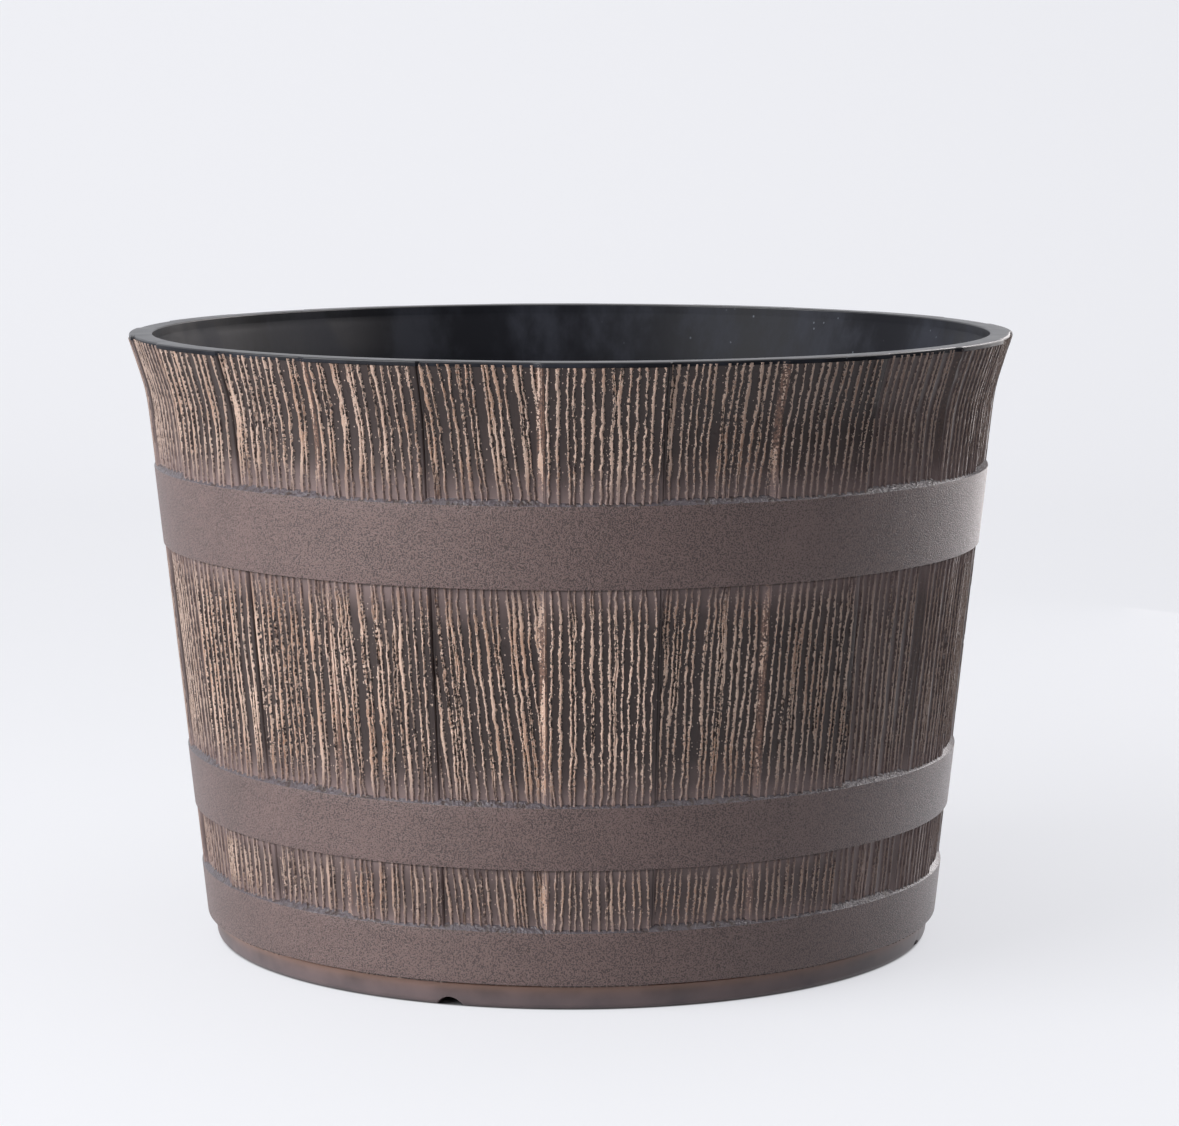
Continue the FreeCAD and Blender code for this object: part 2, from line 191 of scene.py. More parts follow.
# Colours
VALLEY = (0.045, 0.029, 0.026, 1)
VALLEY_DEEP = (0.025, 0.016, 0.015, 1)
BRUSHED = (0.47, 0.285, 0.20, 1)
BRUSHED_PALE = (0.66, 0.47, 0.375, 1)
# The palest tan is a painted highlight along the rims of the ridges.
BRUSHED_HIGHLIGHT = (0.82, 0.63, 0.525, 1)
TAUPE = (0.180, 0.119, 0.111, 1)
TAUPE_DARK = (0.060, 0.041, 0.038, 1)
TAUPE_SPRAY = (0.203, 0.145, 0.139, 1)
# Copper is the film at the staves' lit joints, which is partly painted light, and the painted highlight on
# the foot's upper edge. Slate is partly a painted sheen on the ledges above the hoops, and painted shade on
# the foot near the ground.
COPPER = (0.25, 0.14, 0.10, 1)
SLATE = (0.105, 0.088, 0.100, 1)
BLACK = (0.012, 0.0125, 0.016, 1)
# Bluish black for the smudges inside, partly dust and partly a painted sheen of hazy reflections.
DUST_AND_SHEEN = (0.028, 0.030, 0.039, 1)
LINT = (0.10, 0.11, 0.13, 1)
# The rim's grey, partly wear and partly a painted sheen.
RIM_GREY = (0.028, 0.028, 0.032, 1)
GLOSS_TINT = (1.0, 0.95, 0.95)
FLOOR_SEEN = (0.22, 0.223, 0.232, 1)
FLOOR_UNSEEN = (0.45, 0.455, 0.47, 1)
FLOOR_SHADE = (0.10, 0.10, 0.10, 1)
FLOOR_GLOW = (0.634, 0.638, 0.667, 1)
NO_GLOW = (0, 0, 0, 1)
SKY = (0.93, 0.94, 1.0, 1)
WHITE = (1, 1, 1)


def face_radius(height):
    """Radius of the proud staves' face at a height, with the corner of the flare eased."""
    above = height - FLARE_LOW
    eased = 0.5 * (above + np.sqrt(above * above + FLARE_BLEND * FLARE_BLEND))
    return FLARE_RADIUS + above * TAPER + eased * (FLARE - TAPER)


def smooth_step(low, high, values):
    """Rises softly from 0 to 1 between two values."""
    t = np.clip((values - low) / (high - low), 0, 1)
    return t * t * (3 - 2 * t)


def smooth_noise(rng, across, along, cell_across, cell_along):
    """Random heights from -1 to 1 over a surface, smooth at the size of a cell."""
    x = (across - across.min()) / cell_across
    y = (along - along.min()) / cell_along
    column = np.floor(x).astype(int)
    row = np.floor(y).astype(int)
    lattice = rng.uniform(-1, 1, (row.max() + 2, column.max() + 2))
    x = smooth_step(0, 1, x - column)
    y = smooth_step(0, 1, y - row)
    lower = lattice[row, column] * (1 - x) + lattice[row, column + 1] * x
    upper = lattice[row + 1, column] * (1 - x) + lattice[row + 1, column + 1] * x
    return lower * (1 - y) + upper * y


def wave(rng, along, length):
    """Random values from -1 to 1 that change smoothly along a line."""
    return smooth_noise(rng, np.zeros_like(along), along, 1, length)


def wood_grain(rng, across, along, lean, rough, spacing):
    """Height of the grain over a stave, and how far inside the painted ridges a place lies."""
    middle = along.mean()
    drift = DRIFT * smooth_noise(rng, across, along, *DRIFT_CELL)
    bent = BEND * rough * smooth_noise(rng, across, along, *BEND_CELL)
    ragged = FINE_RAG * smooth_noise(rng, across, along, *FINE_RAG_CELL)
    ragged = ragged + COARSE_RAG * smooth_noise(rng, across, along, *COARSE_RAG_CELL)
    ragged *= rough
    place = across + drift + bent - lean * (along - middle)
    height = np.zeros_like(place)
    paint = np.full_like(place, LEAST_CATCH)
    reach = across.max() + abs(lean) * (along.max() - middle)
    starts = np.arange(-reach, reach, spacing)
    for start in starts + rng.uniform(-START_SPREAD, START_SPREAD, len(starts)):
        for centre, half, split, share in ridge_lines(rng, start, along, rough, spacing):
            offset = place - centre
            ridge = ridge_shape(offset, half + RIDGE_RAG * ragged, split)
            height = np.maximum(height, ridge * share)
            painted = np.maximum(half + PAINT_RAG * ragged, LEAST_PAINT)
            inside = (painted - np.abs(offset)) / PAINT_EDGE + 0.5
            bare_split = BARE_SPLIT * split * np.exp(-(offset / BARE_SPLIT_WIDTH) ** 2)
            inside -= bare_split + FAINT_LOSS * (1 - share)
            paint = np.maximum(paint, inside)
    pits = smooth_noise(rng, across, along, *PIT_CELL)
    crumbs = smooth_noise(rng, across, along, *CRUMB_CELL)
    pitted = 1 - PIT_DEPTH * rough * smooth_step(*PIT_STEP, pits)
    height = np.maximum(height * pitted, CRUMB_HEIGHT * rough * smooth_step(*CRUMB_STEP, crumbs))
    return height, np.minimum(paint, MOST_CATCH)


def ridge_lines(rng, start, along, rough, spacing):
    """A ridge and the branch it may have: its line, half width, split and strength along the stave."""
    line = start + SWAY * wave(rng, along, SWAY_LENGTH) + WIGGLE * rough * wave(rng, along, WIGGLE_LENGTH)
    thick = rng.random() < THICK_CHANCE
    half = rng.uniform(*(THICK_HALF if thick else THIN_HALF)) * (SMOOTH_HALF + (1 - SMOOTH_HALF) * rough)
    half = half * spacing / GRAIN_SPACING * (1 + SWELL * wave(rng, along, SWELL_LENGTH))
    strength = np.clip(STRENGTH + STRENGTH_SWING * wave(rng, along, FADE_LENGTH), FAINTEST, 1)
    split = thick * np.clip(SPLIT_SWING * wave(rng, along, SPLIT_LENGTH) - SPLIT_LACK, 0, 1)
    lines = [(line, half, split, strength)]
    if rng.random() < FORK_CHANCE:
        fork = rng.uniform(along.min(), along.max())
        upward = rng.choice((-1, 1))
        side = rng.choice((-1, 1)) * spacing / 2
        away = upward * (along - fork)
        branch = line + side * smooth_step(0, FORK_LENGTH, away)
        lasting = smooth_step(*FORK_START, away) * (1 - smooth_step(*FORK_FADE, away))
        lines.append((branch, FORK_HALF * half, 0, lasting))
    return lines


def ridge_shape(offset, half, split):
    """A ridge's cross-section round its line, with a fine groove along its middle where it is split."""
    distance = np.abs(offset)
    ridge = smooth_step(0, 1, (half - distance) / RIDGE_EDGE + 0.5)
    return ridge * (1 - SPLIT_DEPTH * split * np.exp(-(distance / SPLIT_WIDTH) ** 2))


def make_object(name, points, faces, material, node, sharp_angle):
    """A mesh object that stands for a CAD node and rides on the planter's body."""
    mesh = bpy.data.meshes.new(name)
    mesh.from_pydata(points.tolist(), [], faces)
    mesh.polygons.foreach_set("use_smooth", np.ones(len(mesh.polygons), dtype=bool))
    mesh.set_sharp_from_angle(angle=sharp_angle)
    mesh.materials.append(material)
    thing = bpy.data.objects.new(name, mesh)
    bpy.context.collection.objects.link(thing)
    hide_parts(node)
    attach(thing, PLANTER)
    return thing


def add_values(thing, name, values):
    """Stores a number per point, which the material reads."""
    layer = thing.data.attributes.new(name, "FLOAT", "POINT")
    layer.data.foreach_set("value", np.ascontiguousarray(values, dtype=np.float32).ravel())


def grid_faces(rows, columns):
    """Quads of a grid of points that is stored row by row."""
    corner = np.arange(rows - 1)[:, None] * columns + np.arange(columns - 1)[None, :]
    corner = corner.ravel()
    return np.stack((corner, corner + 1, corner + columns + 1, corner + columns), axis=1)


# Materials


def new_material(name):
    """A material with its shader, and a function that adds linked nodes to it."""
    material = bpy.data.materials.new(name)
    material.use_nodes = True
    tree = material.node_tree
    shader = tree.nodes["Principled BSDF"]

    def add(kind, links=None, **settings):
        node = tree.nodes.new(kind)
        for key, value in settings.items():
            setattr(node, key, value)
        for socket, source in (links or {}).items():
            if isinstance(source, bpy.types.NodeSocket):
                tree.links.new(source, node.inputs[socket])
            else:
                node.inputs[socket].default_value = source
        return node

    return material, tree, shader, add


def noise_of(add, scale, detail, roughness=0.5):
    """Noise over the object, in its own coordinates."""
    where = add("ShaderNodeTexCoord").outputs["Object"]
    links = {"Vector": where, "Scale": scale, "Detail": detail, "Roughness": roughness}
    return add("ShaderNodeTexNoise", links).outputs["Fac"]


def ramp_of(add, source, low, high):
    """A soft step from 0 to 1 as the source goes from low to high, which may be the smaller one."""
    links = {"Value": source, "From Min": low, "From Max": high}
    return add("ShaderNodeMapRange", links, interpolation_type="SMOOTHSTEP").outputs["Result"]


def mix_of(add, factor, first, second):
    """A blend of two colours."""
    mix = add("ShaderNodeMix", data_type="RGBA", clamp_factor=True)
    tree = mix.id_data
    for socket, value in ((0, factor), (6, first), (7, second)):
        if isinstance(value, bpy.types.NodeSocket):
            tree.links.new(value, mix.inputs[socket])
        else:
            mix.inputs[socket].default_value = value
    return mix.outputs[2]


def math_of(add, operation, first, second):
    """A sum, product or other combination of two numbers."""
    return add("ShaderNodeMath", {0: first, 1: second}, operation=operation).outputs[0]


def value_of(add, name):
    """A number that the mesh stores per point."""
    return add("ShaderNodeAttribute", attribute_name=name).outputs["Fac"]


def place_of(add, axis):
    """Where a point of the object lies along an axis."""
    where = add("ShaderNodeTexCoord").outputs["Object"]
    return add("ShaderNodeSeparateXYZ", {0: where}).outputs[axis]


def add_bump(add, tree, shader, height, strength, distance):
    """Fine relief on a material."""
    bump = add("ShaderNodeBump", {"Height": height, "Strength": strength, "Distance": distance})
    tree.links.new(bump.outputs["Normal"], shader.inputs["Normal"])


def specks_of(add, scale, rareness):
    """Scattered dots, a little taller than wide, in loose patches. The scale is in dots per metre."""
    flattened = (1, 1, 0.7)
    dot_edge = (0.24, 0.14)
    patches_per_metre, patchiness = 60, 0.6
    softness = 0.03
    where = add("ShaderNodeTexCoord").outputs["Object"]
    where = add("ShaderNodeMapping", {"Vector": where, "Scale": flattened}).outputs["Vector"]
    cells = add("ShaderNodeTexVoronoi", {"Vector": where, "Scale": scale})
    dot = ramp_of(add, cells.outputs["Distance"], *dot_edge)
    chance = add("ShaderNodeSeparateColor", {0: cells.outputs["Color"]}).outputs["Red"]
    patches = math_of(add, "MULTIPLY", noise_of(add, patches_per_metre, 1), patchiness)
    shown = ramp_of(add, math_of(add, "ADD", chance, patches), rareness, rareness + softness)
    return math_of(add, "MULTIPLY", dot, shown)


def stave_material():
    """Dark resin with tan paint brushed over the ridges, and taupe paint that fades out from the hoops. It
    carries painted light: a highlight on the paint's edges, light and shade at the joints, shadow under the
    hoops and a sheen towards the sides.
    """
    material, tree, shader, add = new_material("stave")
    ridge = value_of(add, "ridge")
    # The hoops' paint, which towards the sides also carries a painted sheen.
    spray_and_sheen = value_of(add, "spray_and_sheen")
    brush = value_of(add, "brush")
    film_and_light = value_of(add, "film_and_light")
    ragged = value_of(add, "ragged")
    crumbs_per_metre = 720
    clouds_per_metre = 22
    fine = noise_of(add, crumbs_per_metre, 2, 0.6)
    broad = noise_of(add, clouds_per_metre, 2)

    # The edge of the paint follows the ridges, made uneven by the fine noise. Pits break the paint up, and
    # dots of it lie beside the ridges.
    unevenness = 4.4
    paint_edge = (0.38, 0.62)
    pits_per_metre, pit_rareness = 760, 1.0
    dots_per_metre, dot_rareness = 700, 1.08
    shift = math_of(add, "MULTIPLY", math_of(add, "SUBTRACT", fine, 0.5), unevenness)
    uneven = math_of(add, "ADD", ridge, math_of(add, "MULTIPLY", shift, ragged))
    pits = math_of(add, "MULTIPLY", specks_of(add, pits_per_metre, pit_rareness), ragged)
    unpitted = math_of(add, "SUBTRACT", 1.0, pits)
    ridges = math_of(add, "MULTIPLY", ramp_of(add, uneven, *paint_edge), unpitted)
    dots = math_of(add, "MULTIPLY", specks_of(add, dots_per_metre, dot_rareness), ragged)
    caught = math_of(add, "MAXIMUM", ridges, dots)

    # Resin, a copper film near the lit joints that is partly painted light, the hoops' paint with its painted
    # sheen towards the sides, and the tan paint last, palest along its edges as a painted highlight.
    film_patches = (0.3, 0.6)
    pale_patches = (0.35, 0.65)
    highlight_edge = (1.05, 0.6)
    hidden_by_spray = 0.82
    valley = mix_of(add, broad, VALLEY_DEEP, VALLEY)
    filmed = mix_of(add, math_of(add, "MULTIPLY", film_and_light, ramp_of(add, fine, *film_patches)), valley, COPPER)
    sprayed = mix_of(add, spray_and_sheen, filmed, TAUPE_SPRAY)
    body = mix_of(add, ramp_of(add, broad, *pale_patches), BRUSHED, BRUSHED_PALE)
    tan = mix_of(add, ramp_of(add, uneven, *highlight_edge), body, BRUSHED_HIGHLIGHT)
    kept = math_of(add, "SUBTRACT", 1.0, math_of(add, "MULTIPLY", spray_and_sheen, hidden_by_spray))
    brushed = math_of(add, "MULTIPLY", math_of(add, "MULTIPLY", caught, brush), kept)
    tree.links.new(mix_of(add, brushed, sprayed, tan), shader.inputs["Base Color"])

    raised = math_of(add, "MULTIPLY", ridges, brush)
    add_bump(add, tree, shader, raised, strength=0.6, distance=0.5 * MM)
    shader.inputs["Roughness"].default_value = 0.42
    shader.inputs["Specular IOR Level"].default_value = 0.42
    return material


def hoop_material():
    """Taupe paint over a fine sandy surface."""
    material, tree, shader, add = new_material("hoop")
    grains_per_metre = 1350
    clouds_per_metre, cloud_share = 30, 0.15
    dark_to_pale = (0.45, 0.63)
    sand = noise_of(add, grains_per_metre, 1)
    patchy = noise_of(add, clouds_per_metre, 3)
    tone = math_of(add, "ADD", sand, math_of(add, "MULTIPLY", patchy, cloud_share))
    colour = mix_of(add, ramp_of(add, tone, *dark_to_pale), TAUPE_DARK, TAUPE)
    tree.links.new(colour, shader.inputs["Base Color"])
    add_bump(add, tree, shader, sand, strength=1.0, distance=0.6 * MM)
    shader.inputs["Roughness"].default_value = 0.42
    return material


def ledge_material():
    """The same paint, lumpy and smooth where it has run together above a hoop, and dull on the far right. Its
    pale bluish-grey patches are partly a painted sheen on the upward-facing ledge.
    """
    material, tree, shader, add = new_material("ledge")
    lumps_per_metre = 520
    runs_per_metre, run_edge = 260, (0.34, 0.54)
    dull_from, dull_to = 0.205, 0.222
    smooth, dull = 0.3, 0.85
    lumps = noise_of(add, lumps_per_metre, 3)
    # Runs of paint, whose pale slate is partly a painted sheen.
    run_and_sheen = ramp_of(add, noise_of(add, runs_per_metre, 3), *run_edge)
    tree.links.new(mix_of(add, run_and_sheen, TAUPE_DARK, SLATE), shader.inputs["Base Color"])
    add_bump(add, tree, shader, lumps, strength=1.0, distance=1.6 * MM)
    links = {
        "Value": place_of(add, "X"),
        "From Min": dull_from, "From Max": dull_to,
        "To Min": smooth, "To Max": dull,
    }
    tree.links.new(add("ShaderNodeMapRange", links).outputs["Result"], shader.inputs["Roughness"])
    return material


def foot_material():
    """The hoops' taupe, smoother, with a painted copper highlight near its upper edge and painted shade,
    greyer, near the ground.
    """
    material, tree, shader, add = new_material("foot")
    copper_low, copper_share = FOOT_TOP - 5 * MM, 0.8
    grey_from, grey_full, grey_share = 0.75 * FOOT_TOP, 0.35 * FOOT_TOP, 0.45
    clouds_per_metre, dark_to_pale = 45, (0.1, 0.7)
    height = place_of(add, "Z")
    patchy = noise_of(add, clouds_per_metre, 3)
    taupe = mix_of(add, ramp_of(add, patchy, *dark_to_pale), TAUPE_DARK, TAUPE)
    # Painted highlight: copper along the upper edge.
    near_top = ramp_of(add, height, copper_low, FOOT_TOP)
    with_top_highlight = mix_of(add, math_of(add, "MULTIPLY", near_top, copper_share), taupe, COPPER)
    # Painted shade: greyer towards the ground.
    near_ground = ramp_of(add, height, grey_from, grey_full)
    ground_shade = math_of(add, "MULTIPLY", near_ground, grey_share)
    tree.links.new(mix_of(add, ground_shade, with_top_highlight, SLATE), shader.inputs["Base Color"])
    shader.inputs["Roughness"].default_value = 0.45
    return material


def pot_material():
    """Matt black resin with upright smudges, partly dust and partly a painted sheen of hazy reflections, and,
    on the right, a little lint.
    """
    material, tree, shader, add = new_material("pot")
    where = add("ShaderNodeTexCoord").outputs["Object"]
    tall = (1, 1, 0.5)
    smudges_per_metre, smudge_edge = 26, (0.42, 0.68)
    lint_per_metre, lint_rareness = 360, 1.25
    lint_from, lint_full = 0.0, 0.1
    drawn_up = add("ShaderNodeMapping", {"Vector": where, "Scale": tall}).outputs["Vector"]
    links = {"Vector": drawn_up, "Scale": smudges_per_metre, "Detail": 5, "Roughness": 0.62}
    cloud = add("ShaderNodeTexNoise", links).outputs["Fac"]
    # Smudges, partly dust and partly a painted sheen.
    smudge_and_sheen = ramp_of(add, cloud, *smudge_edge)
    dust_and_sheen_colour = mix_of(add, smudge_and_sheen, BLACK, DUST_AND_SHEEN)
    right = ramp_of(add, place_of(add, "X"), lint_from, lint_full)
    lint = math_of(add, "MULTIPLY", specks_of(add, lint_per_metre, lint_rareness), right)
    tree.links.new(mix_of(add, lint, dust_and_sheen_colour, LINT), shader.inputs["Base Color"])
    roughness = add("ShaderNodeMapRange", {"Value": smudge_and_sheen, "To Min": 0.36, "To Max": 0.52})
    tree.links.new(roughness.outputs["Result"], shader.inputs["Roughness"])
    shader.inputs["Specular IOR Level"].default_value = 0.08
    return material


def rim_material():
    """The same resin, worn smooth and a little grey; the grey is partly wear and partly a painted sheen."""
    material, tree, shader, add = new_material("rim")
    marks_per_metre = 60
    # Wear marks, whose grey is partly a painted sheen.
    wear_and_sheen = noise_of(add, marks_per_metre, 3)
    roughness = add("ShaderNodeMapRange", {"Value": wear_and_sheen, "To Min": 0.26, "To Max": 0.42})
    tree.links.new(roughness.outputs["Result"], shader.inputs["Roughness"])
    tree.links.new(mix_of(add, wear_and_sheen, BLACK, RIM_GREY), shader.inputs["Base Color"])
    shader.inputs["Specular IOR Level"].default_value = 0.36
    return material


def plug_material():
    """Black rubber."""
    material, _, shader, _ = new_material("plug")
    shader.inputs["Base Color"].default_value = BLACK
    shader.inputs["Roughness"].default_value = 0.7
    return material


# Pieces


def stave_rows():
    """Heights of the grain's rows: close together where the grain shows, and far apart behind the hoops."""
    edges = sorted((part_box(hoop)[0][2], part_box(hoop)[1][2]) for hoop in HOOPS)
    heights = [FOOT_TOP]
    for low, high in edges:
        shown = max(2, round((low - heights[-1]) / GRAIN_ROW))
        heights.extend(np.linspace(heights[-1], low, shown + 1)[1:])
        behind = max(2, round((high - low) / HIDDEN_ROW))
        heights.extend(np.linspace(low, high, behind + 1)[1:])
    shown = round((STAVE_TOP - heights[-1]) / GRAIN_ROW)
    heights.extend(np.linspace(heights[-1], STAVE_TOP, shown + 1)[1:])
    return np.array(heights)


def spray_from_hoops(rng, across, along, mist_and_sheen):
    """How much of the hoops' paint lies on the staves: most beside a hoop, and none a finger's width away,
    apart from the mist over the whole stave, which towards the sides is partly a painted sheen.
    """
    low_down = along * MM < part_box("middle_hoop")[0][2]
    bare = np.where(low_down, LOW_BARE * (1 - mist_and_sheen), 1.0) * (1 - mist_and_sheen)
    reach = np.where(low_down, LOW_REACH, 1.0) * SPRAY_REACH
    uneven = 1 + SPRAY_UNEVEN * smooth_noise(rng, across, along, *SPRAY_CELL)
    for hoop in HOOPS:
        low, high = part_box(hoop)
        below = np.clip(low[2] - along * MM, 0, None)
        above = np.clip(along * MM - high[2], 0, None)
        bare *= 1 - SPRAY_COVER * np.exp(-((below + above) * uneven / reach) ** SPRAY_FALL)
    return 1 - bare


def unshaded_under_hoops(along):
    """How much of the paint shows at a place: none in the painted shadow right under a hoop."""
    unshaded = np.ones_like(along)
    for hoop in HOOPS:
        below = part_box(hoop)[0][2] - along * MM
        unshaded *= np.where(below > 0, smooth_step(SHADE_FULL_DEPTH, SHADE_END_DEPTH, below), 1)
    return unshaded


def stave_faces(rows):
    """Faces of a stave: its carved front row by row, then both sides, the back and the two ends."""
    front_count = rows * GRAIN_COLUMNS
    row = np.arange(rows - 1)
    front_first = row * GRAIN_COLUMNS
    front_last = front_first + GRAIN_COLUMNS - 1
    back_first = front_count + 2 * row
    back_last = back_first + 1
    left = np.stack((back_first, front_first, front_first + GRAIN_COLUMNS, back_first + 2), axis=1)
    right = np.stack((front_last, back_last, back_last + 2, front_last + GRAIN_COLUMNS), axis=1)
    behind = np.stack((back_last, back_first, back_first + 2, back_last + 2), axis=1)
    faces = np.concatenate((grid_faces(rows, GRAIN_COLUMNS), left, right, behind)).tolist()
    top_row = front_count - GRAIN_COLUMNS
    top_back = front_count + 2 * rows - 2
    faces.append([top_back, *range(top_row, front_count), top_back + 1])
    faces.append([front_count + 1, *range(GRAIN_COLUMNS - 1, -1, -1), front_count])
    return faces


def make_stave(index, material):
    """One stave: a carved face over a board with a flat back."""
    rng = np.random.default_rng(FIRST_SEED + index)
    recessed = index % 2 == 1
    half_angle = STAVE_PITCH / 2 - JOINT_GAP / 2 / FLARE_RADIUS
    heights = stave_rows()
    if recessed:
        extra = np.arange(STAVE_TOP + GRAIN_ROW, RECESSED_TOP, GRAIN_ROW)
        heights = np.concatenate((heights, extra))
    rows = len(heights)
    angles = np.linspace(-half_angle, half_angle, GRAIN_COLUMNS)
    on_right = angles > 0
    radius = face_radius(heights)[:, None]
    across = np.repeat(angles[None, :] * FLARE_RADIUS / MM, rows, axis=0)
    along = np.repeat(heights[:, None] / MM, GRAIN_COLUMNS, axis=1)

    from_edge = (half_angle - np.abs(angles))[None, :] * radius
    if recessed:
        slope = np.where(on_right, LIT_SLOPE, DARK_SLOPE)[None, :]
        at_edge = np.where(on_right, LIT_EDGE, DARK_EDGE)[None, :]
        dip = at_edge + (STAVE_RECESS - at_edge) * np.clip(from_edge / slope, 0, 1)
        plain = 1 - smooth_step(SLOPE_GRAIN_FROM * slope, SLOPE_GRAIN_FULL * slope, from_edge)
    else:
        rounding = np.where(on_right, DARK_EDGE, LIT_EDGE)[None, :]
        inward = np.clip(rounding - from_edge, 0, None)
        dip = rounding - np.sqrt(rounding ** 2 - inward ** 2)
        plain = 1 - smooth_step(*EDGE_GRAIN, from_edge)
    lean = SEEN_LEANS.get(index, rng.uniform(-GRAIN_LEAN, GRAIN_LEAN))
    share = BRUSH.get(index, FULL_BRUSH)
    rough = ROUGHNESS.get(index, FULL_ROUGHNESS)
    spacing = SPACINGS.get(index, GRAIN_SPACING)
    # The mist, towards the sides partly a painted sheen.
    mist_and_sheen = MIST_AND_SHEEN.get(index, 0.0)
    grain, brushed = wood_grain(rng, across, along, lean, rough, spacing)
    ridge = grain * (1 - STRIP_FLATTENED * plain) + STRIP_HEIGHT * plain
    face = radius - dip - GRAIN_DEPTH + GRAIN_RELIEF * ridge

    # Paint: streaks on a recessed stave's strips, none on a proud one's, and a copper film on both sides of
    # the joint that a recessed one slopes up to. That is the lit joint, so its paint is partly painted light,
    # and the shaded joint keeps the dark resin as painted shade.
    streaks = STREAKS * smooth_noise(rng, across, along, *STREAK_CELL)
    streaks = streaks + np.where(on_right, LIT_CATCH, DARK_CATCH)[None, :]
    streaks -= THIN_BRUSH_LOSS * (FULL_BRUSH - share) + MIST_LOSS * mist_and_sheen
    paint = brushed * (1 - plain) + plain * (streaks if recessed else LEAST_CATCH)
    film_share = FILM * max(0, 1 - FILM_MIST_LOSS * mist_and_sheen)
    film_and_light = plain * share * np.where(on_right == recessed, film_share, 0.0)[None, :]
    above_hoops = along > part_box("upper_hoop")[1][2] / MM
    # Painted shadow under the hoops: the paint is left off there.
    unshaded = unshaded_under_hoops(along)
    brush = unshaded * np.where(above_hoops, TOP_BRUSH * share, share)
    spray_and_sheen = unshaded * spray_from_hoops(rng, across, along, mist_and_sheen * (1 - STRIP_MIST_LOSS * plain))
    ragged = np.full(across.shape, rough)

    front = np.stack((face * np.cos(angles), face * np.sin(angles), along * MM), axis=-1)
    back = radius[:, 0] - STAVE_THICKNESS
    side = back * math.tan(half_angle)
    back_left = np.stack((back, -side, heights), axis=-1)
    back_right = np.stack((back, side, heights), axis=-1)
    back_points = np.stack((back_left, back_right), axis=1)
    points = np.concatenate((front.reshape(-1, 3), back_points.reshape(-1, 3)))
    points = turn_points(points, FIRST_STAVE + index * STAVE_PITCH)

    name = f"stave_{index + 1:02d}"
    stave = make_object(f"{name}_carved", points, stave_faces(rows), material, name, STAVE_SHARP)
    unpainted_back = np.full(2 * rows, LEAST_CATCH)
    layers = {"ridge": paint, "brush": brush, "film_and_light": film_and_light, "spray_and_sheen": spray_and_sheen, "ragged": ragged}
    for layer, values in layers.items():
        add_values(stave, layer, np.concatenate((values.ravel(), unpainted_back)))


def turn_points(points, angle):
    """Turns points round the planter's axis."""
    cos, sin = math.cos(angle), math.sin(angle)
    turned = points.copy()
    turned[:, 0] = cos * points[:, 0] - sin * points[:, 1]
    turned[:, 1] = sin * points[:, 0] + cos * points[:, 1]
    return turned


def lathe(radii, heights, angles):
    """Points and quads of an outline turned round the axis. Radii and heights may change with the angle."""
    angles = np.asarray(angles)
    steps = len(angles)
    radii = np.broadcast_to(radii, (steps, np.shape(radii)[-1]))
    heights = np.broadcast_to(heights, radii.shape)
    points = np.stack((radii * np.cos(angles)[:, None], radii * np.sin(angles)[:, None], heights), axis=-1)
    outline = radii.shape[1]
    here = np.arange(steps)[:, None] * outline
    there = (np.arange(steps)[:, None] + 1) % steps * outline
    now = np.arange(outline)[None, :]
    after = (now + 1) % outline
    faces = np.stack((here + now, there + now, there + after, here + after), axis=-1).reshape(-1, 4)
    return points.reshape(-1, 3), faces.tolist()


def even_angles(count):
    """Angles evenly round the axis."""
    return np.arange(count) * math.tau / count


def arc(centre, radius, first, last, count):
    """Points of a rounded corner in an outline, from one direction to another, in degrees."""
    turn = np.radians(np.linspace(first, last, count))
    return [(centre[0] + radius * math.cos(t), centre[1] + radius * math.sin(t)) for t in turn]


def make_hoop(name, material, ledge_finish):
    """A hoop with a tight lower edge and an upper edge that slopes back to the recessed staves."""
    low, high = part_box(name)[0][2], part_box(name)[1][2]
    inside = STAVE_RECESS + GRAIN_DEPTH
    rounding = 0.9 * MM
    shoulder = high - 1.7 * MM
    slope_top = high + 1.9 * MM
    edge = 0.35 * MM
    outline = [(face_radius(low) - inside, low)]
    outline += arc((face_radius(low) + HOOP_PROUD - edge, low + edge), edge, -90, 0, 4)
    outline += [(face_radius(z) + HOOP_PROUD, z) for z in np.linspace(low, shoulder, 6)[1:-1]]
    ledge_first = len(outline) + 2
    outline += arc((face_radius(shoulder) + HOOP_PROUD - rounding, shoulder), rounding, 0, 44, 6)
    outline += [(face_radius(slope_top) - inside, slope_top)]
    radii, heights = np.array(outline).T
    points, faces = lathe(radii, heights, even_angles(ROUND_SEGMENTS))
    hoop = make_object(f"{name}_band", points, faces, material, name, HOOP_SHARP)
    hoop.data.materials.append(ledge_finish)
    place = np.tile(np.arange(len(outline)), ROUND_SEGMENTS)
    on_ledge = (place >= ledge_first) & (place < len(outline) - 1)
    hoop.data.polygons.foreach_set("material_index", on_ledge.astype(np.int32))


